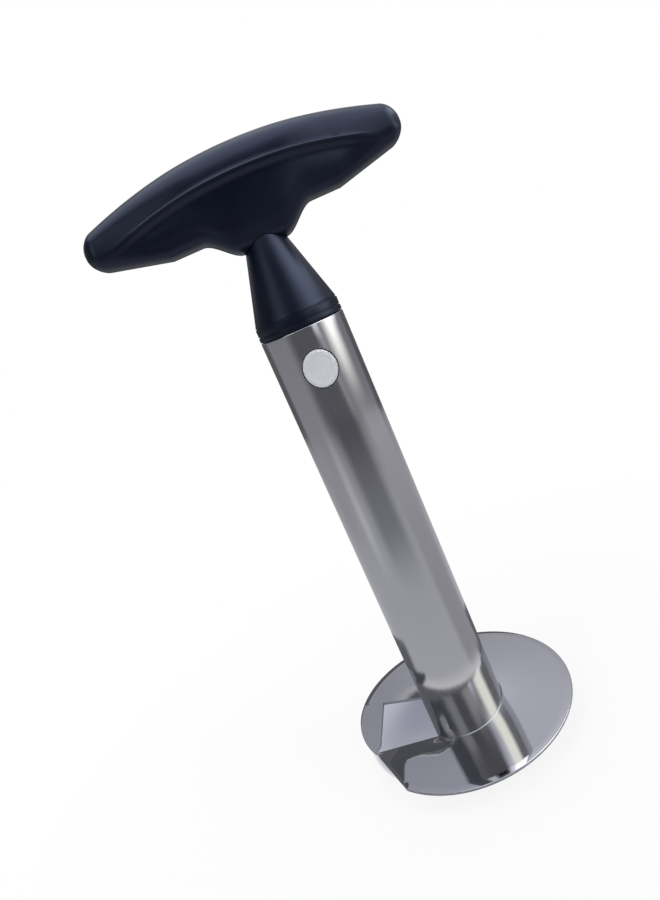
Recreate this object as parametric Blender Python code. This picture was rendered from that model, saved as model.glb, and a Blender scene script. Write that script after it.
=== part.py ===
"""Pineapple slicer: a slotted spiral blade on a coring tube, turned by a T-shaped grip that unlatches.

The tube's axis is Z, the grip runs along X and the release button faces -Y.
The origin is at the centre of the circle of tooth tips, on which the slicer stands.
"""
import math

import bmesh
import bpy
from mathutils import Vector

# Fits and overruns
fit_gap = 0.0003
cut_overrun = 0.0040

# Coring tube
tube_radius = 0.0150
tube_wall = 0.0009
tube_length = 0.1690
tube_rim_round = 0.0003
tooth_count = 16
tooth_steps = 6
tooth_height = 0.0034
tooth_rise_shares = (0.0, 0.0, 0.25, 0.5, 0.75, 1.0)

# Spiral blade
blade_radius = 0.0416
blade_thickness = 0.0010
blade_pitch = 0.0117
blade_low_height = 0.0057
blade_low_angle = math.radians(179.0)
blade_sweep = math.radians(339.3)
blade_step = math.radians(3.0)
blade_rim_round = 0.0003
blade_edge_thickness = 0.00025
blade_bevel_width = 0.0026
blade_corner_sweep = math.radians(41.0)
blade_corner_drop = 0.0014
blade_corner_bevel = 0.0012
blade_corner_fade = math.radians(8.0)
blade_nose_drop = 0.0010
blade_nose_length = 0.0150
blade_nose_soft_share = 0.2
slot_low_skew = math.radians(18.0)
slot_high_skew = math.radians(3.2)
slot_skew_sweep = math.radians(70.0)
strip_root_width = 0.0089
strip_sweep = math.radians(46.2)
strip_tip_width = 0.0037
strip_tip_skew = math.radians(3.0)
strip_foot_step = math.radians(0.6)
strip_steps = 12

# Neck between the tube and the grip
spigot_length = 0.0340
spigot_wall = 0.0025
neck_step_heights = (0.0016, 0.0025)
neck_step_inset = 0.00012
neck_groove_height = 0.0004
neck_groove_depth = 0.0004
neck_cone_inset = 0.0003
neck_shoulder_height = 0.0012
neck_shoulder_inset = 0.0004
neck_cone_top = 0.0320
neck_top_radius = 0.0065
neck_stem_radius = 0.0060
neck_stem_top = 0.0345
neck_hollow_top = 0.0240
neck_hollow_top_radius = 0.0052
tongue_half_width = 0.0080
tongue_half_thickness = 0.0030
tongue_foot = 0.0332
tongue_top = 0.0555
turned_steps = 40

# Release button
button_drop = 0.0140
button_half_width = 0.0061
button_half_height = 0.0065
button_proud = 0.0008
button_edge_round = 0.0009
button_window_gap = 0.0006
button_flange_lip = 0.0016
button_flange_thickness = 0.0015
button_peg_radius = 0.0024
button_peg_length = 0.0015
button_steps = 32
button_face_shares = (0.62, 0.2)

# Button spring and its seat
spring_coil_radius = 0.0032
spring_wire_radius = 0.0004
spring_turns = 6
spring_steps = 8
seat_boss_radius = 0.0036
seat_boss_offset = 0.0032
seat_peg_length = 0.0018

# Plug cap at the spigot's lower end
cap_plate_thickness = 0.0016
cap_skirt_length = 0.0040
cap_skirt_wall = 0.0015
cap_edge_round = 0.0005

# Grip
grip_half_length = 0.0553
grip_top = 0.0626
grip_crown_drop = 0.0101
grip_wing_floor = 0.0359
grip_wing_flat = 0.0300
grip_wing_rise = 0.0060
grip_lobe_drop = 0.0072
grip_lobe_inner = 0.0075
grip_lobe_outer = 0.0195
grip_half_thickness = 0.0110
grip_tip_half_thickness = 0.0080
grip_taper_start = 0.0100
grip_taper_end = 0.0500
grip_end_round = 0.0050
grip_end_cut_share = 0.985
grip_power = 2.5
grip_crease_depth = 0.0104
grip_crease_width = 0.0014
grip_crease_share = 0.64
grip_scoop_share = 0.16
grip_scoop_floor = 0.0050
grip_scoop_inner = 0.0330
grip_scoop_outer = 0.0500
grip_wall = 0.0024
grip_stations = 40
grip_roll_steps = 5
grip_face_steps = 8
grip_hollow_stations = 20
grip_hollow_roll_steps = 2
grip_hollow_face_steps = 4
grip_spread_share = 0.6

# Grip screws
screw_radius = 0.0012
screw_head_radius = 0.0030
screw_head_height = 0.0018
screw_seat = 0.0055
screw_tip = 0.0050
screw_hole_gap = 0.0003
screw_boss_wall = 0.0019
screw_steps = 16
screw_point_share = 0.4
screw_crown_share = 0.6
screw_rim_share = 0.5
screw_wing_offset = 0.0340
screw_wing_height = 0.0475
screw_lower_height = 0.0395
screw_upper_height = 0.0505


def clear_scene():
    for old in list(bpy.data.objects):
        bpy.data.objects.remove(old, do_unlink=True)


def make_material(name, colour, roughness, metallic):
    material = bpy.data.materials.new(name)
    material.use_nodes = True
    shader = material.node_tree.nodes["Principled BSDF"]
    shader.inputs["Base Color"].default_value = (*colour, 1.0)
    shader.inputs["Roughness"].default_value = roughness
    shader.inputs["Metallic"].default_value = metallic
    return material


def add_object(name, mesh_builder, material=None, smooth_angle=math.radians(35.0)):
    mesh = bpy.data.meshes.new(name)
    bmesh.ops.recalc_face_normals(mesh_builder, faces=mesh_builder.faces)
    mesh_builder.to_mesh(mesh)
    mesh_builder.free()
    mesh.shade_smooth()
    mesh.set_sharp_from_angle(angle=smooth_angle)
    item = bpy.data.objects.new(name, mesh)
    bpy.context.collection.objects.link(item)
    if material is None:
        item.hide_render = True
        item.display_type = "WIRE"
    else:
        mesh.materials.append(material)
    return item


def add_boolean(item, operation, other):
    step = item.modifiers.new(operation.lower() + "_" + other.name, "BOOLEAN")
    step.operation = operation
    step.solver = "EXACT"
    step.object = other


def smooth_step(value):
    held = min(max(value, 0.0), 1.0)
    return held * held * (3.0 - 2.0 * held)


def bridge_rings(builder, rings, close_loop=False):
    """Skins rings of vertices with quads and caps the two ends, or joins them where the loop closes."""
    count = len(rings[0])
    last = len(rings) if close_loop else len(rings) - 1
    for ring in range(last):
        near = rings[ring]
        far = rings[(ring + 1) % len(rings)]
        for step in range(count):
            after = (step + 1) % count
            builder.faces.new((near[step], near[after], far[after], far[step]))
    if not close_loop:
        builder.faces.new(list(reversed(rings[0])))
        builder.faces.new(rings[-1])


def loft(point_rings):
    builder = bmesh.new()
    rings = [[builder.verts.new(point) for point in points] for points in point_rings]
    bridge_rings(builder, rings)
    return builder


def turn(profile, steps, closed):
    """Turns a profile of (radius, height) points about Z; an open profile is capped flat at both ends."""
    builder = bmesh.new()
    rings = []
    for radius, height in profile:
        ring = []
        for step in range(steps):
            angle = math.tau * step / steps
            ring.append(builder.verts.new((radius * math.cos(angle), radius * math.sin(angle), height)))
        rings.append(ring)
    bridge_rings(builder, rings, close_loop=closed)
    return builder


def oval_ring(half_width, half_height, depth, centre_height, steps, curve_radius=None):
    """An oval in the XZ plane at Y = depth, or wrapped back over a cylinder about Z of the curve radius."""
    ring = []
    for step in range(steps):
        angle = math.tau * step / steps
        across = half_width * math.cos(angle)
        back = 0.0
        if curve_radius is not None:
            back = curve_radius - math.sqrt(curve_radius ** 2 - across ** 2)
        ring.append((across, depth + back, centre_height + half_height * math.sin(angle)))
    return ring


def oval_ring_at(radius, depth, across, height, steps):
    return [(across + x, y, z) for x, y, z in oval_ring(radius, radius, depth, height, steps)]


def add_rods(name, rods, steps):
    """One helper object made of separate rods, each given as (radius, start, end, across, height)."""
    builder = bmesh.new()
    for radius, start, end, across, height in rods:
        rings = []
        for depth in (start, end):
            points = oval_ring_at(radius, depth, across, height, steps)
            rings.append([builder.verts.new(point) for point in points])
        bridge_rings(builder, rings)
    return add_object(name, builder)


def add_box(name, low, high):
    builder = bmesh.new()
    bmesh.ops.create_cube(builder, size=1.0)
    for vertex in builder.verts:
        for axis in range(3):
            centre = (low[axis] + high[axis]) / 2.0
            vertex.co[axis] = centre + vertex.co[axis] * (high[axis] - low[axis])
    return add_object(name, builder)


def build_tube(material):
    """A thin steel tube whose lower edge is cut into saw teeth that lean the way the slicer is turned."""
    inner_radius = tube_radius - tube_wall
    steps = tooth_count * tooth_steps
    builder = bmesh.new()
    columns = []
    for step in range(steps):
        angle = -math.tau * step / steps
        foot = tooth_height * tooth_rise_shares[step % tooth_steps]
        section = (
            (tube_radius, foot),
            (tube_radius, tooth_height + tube_wall),
            (tube_radius, tube_length - tube_rim_round),
            (tube_radius - tube_rim_round, tube_length),
            (inner_radius + tube_rim_round, tube_length),
            (inner_radius, tube_length - tube_rim_round),
            (inner_radius, tooth_height + tube_wall),
            (inner_radius, foot),
        )
        columns.append([
            builder.verts.new((radius * math.cos(angle), radius * math.sin(angle), height))
            for radius, height in section
        ])
    bridge_rings(builder, columns, close_loop=True)
    tube = add_object("shaft_tube", builder, material)
    window = oval_cutter(
        "tube_window_cutter",
        button_half_width + button_window_gap,
        button_half_height + button_window_gap,
        -tube_radius - cut_overrun,
        -inner_radius + cut_overrun,
    )
    add_boolean(tube, "DIFFERENCE", window)
    return tube


def oval_cutter(name, half_width, half_height, start, end):
    centre_height = tube_length - button_drop
    rings = [
        oval_ring(half_width, half_height, start, centre_height, button_steps),
        oval_ring(half_width, half_height, end, centre_height, button_steps),
    ]
    return add_object(name, loft(rings))


def blade_height(behind, radius):
    """The sheet's top: a steady rise, with the leading end bent down over the nose's length."""
    share = behind * radius / blade_nose_length
    bend = 1.0 - share
    if share > 1.0 - blade_nose_soft_share:
        bend = max(1.0 + blade_nose_soft_share - share, 0.0) ** 2 / (4.0 * blade_nose_soft_share)
    return blade_low_height + blade_pitch * behind / math.tau - blade_nose_drop * bend


def blade_outer_radius(behind):
    """The rim's radius: round, but cut straight across the leading corner."""
    if behind >= blade_corner_sweep:
        return blade_radius
    tip = Vector((blade_radius - blade_corner_drop, 0.0))
    shoulder = Vector((math.cos(blade_corner_sweep), math.sin(blade_corner_sweep))) * blade_radius
    run = shoulder - tip
    normal = Vector((run.y, -run.x)).normalized()
    return normal.dot(tip) / (normal.x * math.cos(behind) + normal.y * math.sin(behind))


def flat_point(radius, angle):
    return Vector((radius * math.cos(angle), radius * math.sin(angle)))


def blade_section(inner, outer, inner_foot, foot, thickness, ground):
    """Six points across the sheet; ground, from 0 to 1, is how far the rim is sharpened."""
    along = (outer - inner).normalized()
    drop = min(blade_rim_round, thickness / 3.0)
    top_drop = drop + (thickness - blade_edge_thickness - drop) * ground
    top_inset = blade_rim_round + (blade_corner_bevel - blade_rim_round) * ground
    low_rim = outer - along * blade_rim_round
    top_rim = outer - along * top_inset
    return [
        (*inner, inner_foot),
        (*low_rim, foot),
        (*outer, foot + drop * (1.0 - ground)),
        (*outer, foot + thickness - top_drop),
        (*top_rim, foot + thickness),
        (*inner, inner_foot + thickness),
    ]


def blade_turn_section(behind):
    """A section of the sheet round the tube, at an angle behind the leading edge."""
    skew = slot_low_skew * (1.0 - smooth_step(behind / slot_skew_sweep))
    skew += slot_high_skew * smooth_step((behind - blade_sweep + slot_skew_sweep) / slot_skew_sweep)
    angle = blade_low_angle + behind
    share = min(behind * blade_radius / blade_bevel_width, 1.0)
    thickness = blade_edge_thickness + (blade_thickness - blade_edge_thickness) * share
    ground = smooth_step((blade_corner_sweep - behind) / blade_corner_fade) * share
    inner = flat_point(tube_radius + fit_gap, angle + skew)
    outer = flat_point(blade_outer_radius(behind), angle)
    inner_foot = blade_height(behind, tube_radius) - thickness
    outer_foot = blade_height(behind, blade_radius) - thickness
    return blade_section(inner, outer, inner_foot, outer_foot, thickness, ground)


def blade_strip_section(share):
    """A section of the tapering strip that the sheet's high end carries along the rim, past the slot."""
    behind = blade_sweep + strip_foot_step + (strip_sweep - strip_foot_step) * share
    tip_angle = blade_low_angle + blade_sweep + strip_sweep - strip_tip_skew
    root = flat_point(blade_radius - strip_root_width, blade_low_angle + blade_sweep)
    tip = flat_point(blade_radius - strip_tip_width, tip_angle)
    outer = flat_point(blade_radius, blade_low_angle + behind)
    foot = blade_height(behind, blade_radius) - blade_thickness
    return blade_section(root.lerp(tip, share), outer, foot, foot, blade_thickness, 0.0)


def build_blade(material):
    """A one-turn helicoid round the tube with a slot between its ends, whose low edge is ground sharp."""
    stations = int(round(blade_sweep / blade_step))
    edge_angle = blade_bevel_width / blade_radius
    turned = [0.0, edge_angle / 2.0, edge_angle]
    turned += [blade_sweep * step / stations for step in range(2, stations + 1)]
    rings = [blade_turn_section(behind) for behind in turned]
    rings += [blade_strip_section(step / strip_steps) for step in range(strip_steps + 1)]
    return add_object("spiral_blade", loft(rings), material, math.radians(25.0))


def neck_cone_points():
    """The cone's foot, its rounded shoulder and its top, as (radius, height)."""
    base = tube_length + fit_gap + sum(neck_step_heights) + len(neck_step_heights) * neck_groove_height
    foot_radius = tube_radius - neck_cone_inset
    return (
        (foot_radius, base),
        (foot_radius - neck_shoulder_inset, base + neck_shoulder_height),
        (neck_top_radius, tube_length + neck_cone_top),
    )


def build_neck(material):
    """Spigot, stepped base, cone, stem and tongue in one moulding, hollow from below."""
    spigot_radius = tube_radius - tube_wall - fit_gap
    bore_radius = spigot_radius - spigot_wall
    foot = tube_length - spigot_length
    profile = [(bore_radius, foot), (spigot_radius, foot), (spigot_radius, tube_length + fit_gap)]
    height = tube_length + fit_gap
    for step, step_height in enumerate(neck_step_heights):
        radius = tube_radius - neck_step_inset * step
        profile.append((radius, height))
        height += step_height
        profile.append((radius, height))
        profile.append((radius - neck_groove_depth, height))
        height += neck_groove_height
        profile.append((radius - neck_groove_depth, height))
    profile.extend(neck_cone_points())
    profile.append((neck_stem_radius, tube_length + neck_cone_top))
    profile.append((neck_stem_radius, tube_length + neck_stem_top))
    outer = add_object("neck_spigot", turn(profile[1:], turned_steps, False), material)
    hollow = [
        (bore_radius, foot - cut_overrun),
        (bore_radius, tube_length),
        (neck_hollow_top_radius, tube_length + neck_hollow_top),
    ]
    add_boolean(outer, "DIFFERENCE", add_object("neck_hollow_cutter", turn(hollow, turned_steps, False)))
    window = oval_cutter(
        "neck_window_cutter",
        button_half_width + fit_gap,
        button_half_height + fit_gap,
        -spigot_radius - cut_overrun,
        -bore_radius + cut_overrun,
    )
    add_boolean(outer, "DIFFERENCE", window)
    centre_height = tube_length - button_drop
    wall_middle = bore_radius + spigot_wall / 2.0
    peg_start = seat_boss_offset - seat_peg_length
    boss = loft([
        oval_ring(button_peg_radius, button_peg_radius, peg_start, centre_height, screw_steps),
        oval_ring(button_peg_radius, button_peg_radius, seat_boss_offset, centre_height, screw_steps),
        oval_ring(seat_boss_radius, seat_boss_radius, seat_boss_offset, centre_height, screw_steps),
        oval_ring(seat_boss_radius, seat_boss_radius, wall_middle, centre_height, screw_steps),
    ])
    add_boolean(outer, "UNION", add_object("neck_seat_boss", boss))
    tongue = add_box(
        "neck_tongue",
        (-tongue_half_width, -tongue_half_thickness, tube_length + tongue_foot),
        (tongue_half_width, tongue_half_thickness, tube_length + tongue_top),
    )
    add_boolean(outer, "UNION", tongue)
    reach = tongue_half_thickness + cut_overrun
    holes = [
        (screw_radius + screw_hole_gap, -reach, reach, 0.0, tube_length + level)
        for level in (screw_lower_height, screw_upper_height)
    ]
    add_boolean(outer, "DIFFERENCE", add_rods("neck_screw_cutter", holes, screw_steps))
    return outer


def build_cap(material):
    """Closes the spigot's lower end: a round plate with a short skirt inside the bore."""
    spigot_radius = tube_radius - tube_wall - fit_gap
    skirt_radius = spigot_radius - spigot_wall - fit_gap
    plate_top = tube_length - spigot_length - fit_gap
    plate_foot = plate_top - cap_plate_thickness
    profile = [
        (spigot_radius - cap_edge_round, plate_foot),
        (spigot_radius, plate_foot + cap_edge_round),
        (spigot_radius, plate_top),
        (skirt_radius, plate_top),
        (skirt_radius, plate_top + cap_skirt_length),
        (skirt_radius - cap_skirt_wall, plate_top + cap_skirt_length),
        (skirt_radius - cap_skirt_wall, plate_top),
    ]
    return add_object("plug_cap", turn(profile, turned_steps, False), material)


def button_flange_front():
    """Depth at which the flange's sides come up against the spigot's round bore."""
    bore_radius = tube_radius - tube_wall - fit_gap - spigot_wall
    half_width = button_half_width + button_flange_lip
    return -math.sqrt(bore_radius ** 2 - half_width ** 2) + fit_gap


def build_button(material):
    """An oval head with a softened edge, a flange behind the spigot's wall and a peg for the spring."""
    centre_height = tube_length - button_drop
    face_radius = tube_radius + button_proud
    flange_front = button_flange_front()
    flange_back = flange_front + button_flange_thickness
    flange_width = button_half_width + button_flange_lip
    flange_height = button_half_height + button_flange_lip
    peg_end = flange_back + button_peg_length
    rings = [
        oval_ring(button_peg_radius, button_peg_radius, peg_end, centre_height, button_steps),
        oval_ring(button_peg_radius, button_peg_radius, flange_back, centre_height, button_steps),
        oval_ring(flange_width, flange_height, flange_back, centre_height, button_steps),
        oval_ring(flange_width, flange_height, flange_front, centre_height, button_steps),
        oval_ring(button_half_width, button_half_height, flange_front, centre_height, button_steps),
    ]
    for turned in (0.0, math.pi / 6.0, math.pi / 3.0, math.pi / 2.0):
        inset = button_edge_round * (1.0 - math.cos(turned))
        depth = -face_radius + button_edge_round * (1.0 - math.sin(turned))
        width = button_half_width - inset
        height = button_half_height - inset
        rings.append(oval_ring(width, height, depth, centre_height, button_steps, face_radius))
    for share in button_face_shares:
        rings.append(oval_ring(
            (button_half_width - button_edge_round) * share,
            (button_half_height - button_edge_round) * share,
            -face_radius,
            centre_height,
            button_steps,
            face_radius,
        ))
    return add_object("release_button", loft(rings), material)


def build_spring(material):
    """A compression spring on the button's axis, one unbroken wire from the flange to the seat."""
    centre_height = tube_length - button_drop
    near_end = button_flange_front() + button_flange_thickness + fit_gap + spring_wire_radius
    far_end = seat_boss_offset - fit_gap - spring_wire_radius
    count = spring_turns * spring_steps
    points = []
    for step in range(count + 1):
        share = step / count
        angle = math.tau * spring_turns * share
        points.append(Vector((
            spring_coil_radius * math.cos(angle),
            near_end + (far_end - near_end) * share,
            centre_height + spring_coil_radius * math.sin(angle),
        )))
    least = min(
        (points[first] - points[second]).length
        for first in range(len(points))
        for second in range(first + spring_steps // 2, len(points))
    )
    print("least gap between spring turns, m:", round(least - 2.0 * spring_wire_radius, 6))
    curve = bpy.data.curves.new("button_spring", "CURVE")
    curve.dimensions = "3D"
    curve.bevel_depth = spring_wire_radius
    curve.bevel_resolution = 1
    curve.use_fill_caps = True
    line = curve.splines.new("POLY")
    line.points.add(len(points) - 1)
    for target, point in zip(line.points, points):
        target.co = (*point, 1.0)
    line.use_smooth = True
    curve.materials.append(material)
    spring = bpy.data.objects.new("button_spring", curve)
    bpy.context.collection.objects.link(spring)
    return spring


def grip_limits(across, inset):
    """Top, floor and half thickness of the grip's section at X = across, each drawn in by the inset."""
    reach = abs(across)
    top = grip_top - grip_crown_drop * (reach / grip_half_length) ** 2
    beyond = max(reach - grip_wing_flat, 0.0) / (grip_half_length - grip_wing_flat)
    lobe = 1.0 - smooth_step((reach - grip_lobe_inner) / (grip_lobe_outer - grip_lobe_inner))
    floor = grip_wing_floor + grip_wing_rise * beyond - grip_lobe_drop * lobe
    taper = smooth_step((reach - grip_taper_start) / (grip_taper_end - grip_taper_start))
    half_thickness = grip_half_thickness + (grip_tip_half_thickness - grip_half_thickness) * taper
    top -= inset
    floor += inset
    half_thickness -= inset
    end_start = grip_half_length - inset - grip_end_round
    past = max(reach - end_start, 0.0) / grip_end_round
    closing = math.sqrt(max(1.0 - past ** 2, 0.0))
    middle = (top + floor) / 2.0
    half_height = (top - floor) / 2.0 * closing
    return middle, half_height, half_thickness * closing


def grip_side(across, level, inset):
    """Half thickness of the grip at X = across and height level above the tube's rim."""
    middle, half_height, half_thickness = grip_limits(across, inset)
    share = min(abs(level - middle) / half_height, 1.0)
    body = half_thickness * (1.0 - share ** grip_power) ** (1.0 / grip_power)
    crease = grip_crease(half_height)
    below = middle + half_height - crease - level
    scoop = smooth_step(below / grip_crease_width)
    scoop *= smooth_step((level - middle + half_height) / grip_scoop_floor)
    scoop *= 1.0 - smooth_step((abs(across) - grip_scoop_inner) / (grip_scoop_outer - grip_scoop_inner))
    return body * (1.0 - grip_scoop_share * scoop)


def grip_crease(half_height):
    """Depth of the crease below the crown: set by the roll, but less than half of a low section."""
    return min(grip_crease_depth, 2.0 * half_height * grip_crease_share)


def grip_section(across, inset, roll_steps, face_steps):
    middle, half_height, _ = grip_limits(across, inset)
    crease = grip_crease(half_height)
    crease_end = min(crease + grip_crease_width, half_height * (1.0 + grip_crease_share))
    upper = math.acos(1.0 - crease / half_height)
    lower = math.acos(1.0 - crease_end / half_height)
    turns = [upper * step / roll_steps for step in range(roll_steps + 1)]
    turns += [lower + (math.pi - lower) * step / face_steps for step in range(face_steps + 1)]
    levels = [middle + half_height * math.cos(turned) for turned in turns]
    front = [(across, -grip_side(across, level, inset), tube_length + level) for level in levels[1:-1]]
    rear = [(x, -y, z) for x, y, z in reversed(front)]
    crown = (across, 0.0, tube_length + levels[0])
    keel = (across, 0.0, tube_length + levels[-1])
    return [crown, *front, keel, *rear]


def grip_body(inset, stations, roll_steps, face_steps):
    reach = (grip_half_length - inset - grip_end_round) + grip_end_round * grip_end_cut_share
    rings = []
    for station in range(stations + 1):
        share = station / stations
        spread = grip_spread_share * math.sin(math.pi * (share - 0.5))
        spread += (1.0 - grip_spread_share) * (2.0 * share - 1.0)
        rings.append(grip_section(reach * spread, inset, roll_steps, face_steps))
    return loft(rings)


def screw_places():
    """(X, height above the tube's rim, nearest face of what the front and rear bosses meet)."""
    return (
        ("grip_screw_left", -screw_wing_offset, screw_wing_height, 0.0),
        ("grip_screw_right", screw_wing_offset, screw_wing_height, 0.0),
        ("grip_screw_lower", 0.0, screw_lower_height, tongue_half_thickness + fit_gap / 2.0),
        ("grip_screw_upper", 0.0, screw_upper_height, tongue_half_thickness + fit_gap / 2.0),
    )


def neck_clearance_cutter():
    """The grip's lower mouth, which follows the cone and the stem."""
    profile = [(radius + fit_gap, height) for radius, height in neck_cone_points()]
    profile.append((neck_stem_radius + fit_gap, tube_length + neck_cone_top + fit_gap))
    profile.append((neck_stem_radius + fit_gap, tube_length + neck_stem_top + fit_gap))
    return turn(profile, turned_steps, False)


def build_grip_half(name, side, material):
    """Half of the hollow grip, with bosses that clamp the neck's tongue and take the screws."""
    half = add_object(name, grip_body(0.0, grip_stations, grip_roll_steps, grip_face_steps), material)
    hollow = grip_body(grip_wall, grip_hollow_stations, grip_hollow_roll_steps, grip_hollow_face_steps)
    add_boolean(half, "DIFFERENCE", add_object(name + "_hollow", hollow))
    bosses = []
    holes = []
    for _, across, level, meets in screw_places():
        height = tube_length + level
        start = side * (meets + fit_gap / 2.0)
        wall_middle = side * grip_side(across, level, grip_wall / 2.0)
        hole_radius = screw_radius + screw_hole_gap
        if side < 0.0:
            bosses.append((hole_radius + screw_boss_wall, start, wall_middle, across, height))
            holes.append((hole_radius, cut_overrun, -screw_tip - fit_gap, across, height))
        else:
            pocket_radius = screw_head_radius + screw_hole_gap
            bosses.append((pocket_radius + grip_wall / 2.0, start, wall_middle, across, height))
            holes.append((hole_radius, -cut_overrun, grip_half_thickness, across, height))
    add_boolean(half, "UNION", add_rods(name + "_bosses", bosses, screw_steps))
    reach = grip_half_length + cut_overrun
    near, far = sorted((side * fit_gap / 2.0, -side * reach))
    parting = add_box(
        name + "_parting_cutter",
        (-reach, near, tube_length),
        (reach, far, tube_length + grip_top + cut_overrun),
    )
    add_boolean(half, "DIFFERENCE", parting)
    add_boolean(half, "DIFFERENCE", add_object(name + "_neck_cutter", neck_clearance_cutter()))
    add_boolean(half, "DIFFERENCE", add_rods(name + "_screw_cutter", holes, screw_steps))
    if side > 0.0:
        pocket_radius = screw_head_radius + screw_hole_gap
        pocket_end = grip_half_thickness + cut_overrun
        pockets = [
            (pocket_radius, screw_seat, pocket_end, across, tube_length + level)
            for _, across, level, _ in screw_places()
        ]
        add_boolean(half, "DIFFERENCE", add_rods(name + "_pocket_cutter", pockets, screw_steps))
    return half


def build_screw(name, across, level, material):
    height = tube_length + level
    seat = screw_seat + fit_gap
    rim = seat + screw_head_height * screw_rim_share
    crown = seat + screw_head_height
    rings = [
        oval_ring_at(screw_radius * screw_point_share, -screw_tip, across, height, screw_steps),
        oval_ring_at(screw_radius, -screw_tip + screw_radius, across, height, screw_steps),
        oval_ring_at(screw_radius, seat, across, height, screw_steps),
        oval_ring_at(screw_head_radius, seat, across, height, screw_steps),
        oval_ring_at(screw_head_radius, rim, across, height, screw_steps),
        oval_ring_at(screw_head_radius * screw_crown_share, crown, across, height, screw_steps),
    ]
    return add_object(name, loft(rings), material)


def main():
    clear_scene()
    satin_steel = make_material("satin_steel", (0.42, 0.42, 0.44), 0.24, 1.0)
    mirror_steel = make_material("mirror_steel", (0.55, 0.57, 0.60), 0.06, 1.0)
    spring_steel = make_material("spring_steel", (0.50, 0.50, 0.52), 0.30, 1.0)
    screw_steel = make_material("screw_steel", (0.38, 0.38, 0.40), 0.35, 1.0)
    black_plastic = make_material("black_plastic", (0.012, 0.013, 0.016), 0.38, 0.0)
    cap_plastic = make_material("cap_plastic", (0.020, 0.020, 0.022), 0.50, 0.0)
    grey_plastic = make_material("grey_plastic", (0.58, 0.60, 0.62), 0.42, 0.0)
    build_tube(satin_steel)
    build_blade(mirror_steel)
    build_neck(black_plastic)
    build_cap(cap_plastic)
    build_button(grey_plastic)
    build_spring(spring_steel)
    build_grip_half("grip_front", -1.0, black_plastic)
    build_grip_half("grip_rear", 1.0, black_plastic)
    for name, across, level, _ in screw_places():
        build_screw(name, across, level, screw_steel)


main()
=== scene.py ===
"""Pineapple slicer, dressed for a plain studio view."""
import math

import bmesh
import bpy
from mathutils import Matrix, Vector


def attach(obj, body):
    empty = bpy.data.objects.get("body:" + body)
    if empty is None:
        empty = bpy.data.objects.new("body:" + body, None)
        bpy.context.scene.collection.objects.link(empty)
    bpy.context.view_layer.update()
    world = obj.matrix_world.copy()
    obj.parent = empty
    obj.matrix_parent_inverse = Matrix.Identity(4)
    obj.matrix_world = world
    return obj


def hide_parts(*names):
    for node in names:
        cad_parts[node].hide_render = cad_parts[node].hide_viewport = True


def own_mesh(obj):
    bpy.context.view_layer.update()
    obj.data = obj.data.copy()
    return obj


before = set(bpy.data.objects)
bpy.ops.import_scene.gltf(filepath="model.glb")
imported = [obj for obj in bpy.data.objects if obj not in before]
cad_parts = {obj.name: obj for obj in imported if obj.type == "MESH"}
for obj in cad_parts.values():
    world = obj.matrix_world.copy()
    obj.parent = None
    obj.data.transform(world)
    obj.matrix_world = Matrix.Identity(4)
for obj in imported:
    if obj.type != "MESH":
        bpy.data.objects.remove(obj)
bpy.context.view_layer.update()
scene = bpy.context.scene
scene.view_settings.view_transform = "Standard"

# Sizes shared with the frame, in metres
fit_gap = 0.0003
tube_radius = 0.0150
tube_wall = 0.0009
tube_length = 0.1690
tooth_count = 16
tooth_height = 0.0034
blade_radius = 0.0416
blade_thickness = 0.0010
blade_pitch = 0.0117
blade_low_height = 0.0057
blade_low_angle = math.radians(179.0)
blade_sweep = math.radians(339.3)
blade_rim_round = 0.0003
blade_edge_thickness = 0.00025
blade_bevel_width = 0.0026
blade_corner_sweep = math.radians(41.0)
blade_corner_drop = 0.0014
blade_corner_bevel = 0.0012
blade_corner_fade = math.radians(8.0)
blade_nose_drop = 0.0010
blade_nose_length = 0.0150
blade_nose_soft_share = 0.2
slot_low_skew = math.radians(18.0)
slot_high_skew = math.radians(3.2)
slot_skew_sweep = math.radians(70.0)
strip_foot_step = math.radians(0.3)
strip_root_width = 0.0089
strip_sweep = math.radians(46.2)
strip_tip_width = 0.0037
strip_tip_skew = math.radians(3.0)
spigot_length = 0.0340
spigot_radius = tube_radius - tube_wall - fit_gap
bore_radius = spigot_radius - 0.0025
button_drop = 0.0140
button_height = tube_length - button_drop
button_half_width = 0.0061
button_half_height = 0.0065
button_face = tube_radius + 0.0008
peg_radius = 0.0024
tongue_half_thickness = 0.0030
grip_half_length = 0.0553
grip_top = 0.0626
grip_wall = 0.0024
screw_radius = 0.0012
head_radius = 0.0030
screw_seat = 0.0055
screws = (
    ("grip_screw_left", -0.0340, 0.0475),
    ("grip_screw_right", 0.0340, 0.0475),
    ("grip_screw_lower", 0.0, 0.0395),
    ("grip_screw_upper", 0.0, 0.0505),
)

# The button's head, slightly smaller than the solid's
head_half_width = 0.0057
head_half_height = 0.0063

# Building
cut_overrun = 0.0040
wall_tolerance = 0.000002
upright_limit = 0.02
facing_limit = 0.9


def smooth_step(value):
    held = min(max(value, 0.0), 1.0)
    return held * held * (3.0 - 2.0 * held)


def around(radius, angle, height):
    return (radius * math.cos(angle), radius * math.sin(angle), height)


def shade(item, sharp_angle):
    """Smooth faces, and sharp edges where the surface turns by more than the angle, in degrees."""
    item.data.shade_smooth()
    item.data.set_sharp_from_angle(angle=math.radians(sharp_angle))


def add_object(name, builder, sharp_angle=35.0):
    mesh = bpy.data.meshes.new(name)
    bmesh.ops.recalc_face_normals(builder, faces=builder.faces)
    builder.to_mesh(mesh)
    builder.free()
    item = bpy.data.objects.new(name, mesh)
    bpy.context.collection.objects.link(item)
    shade(item, sharp_angle)
    return item


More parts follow.
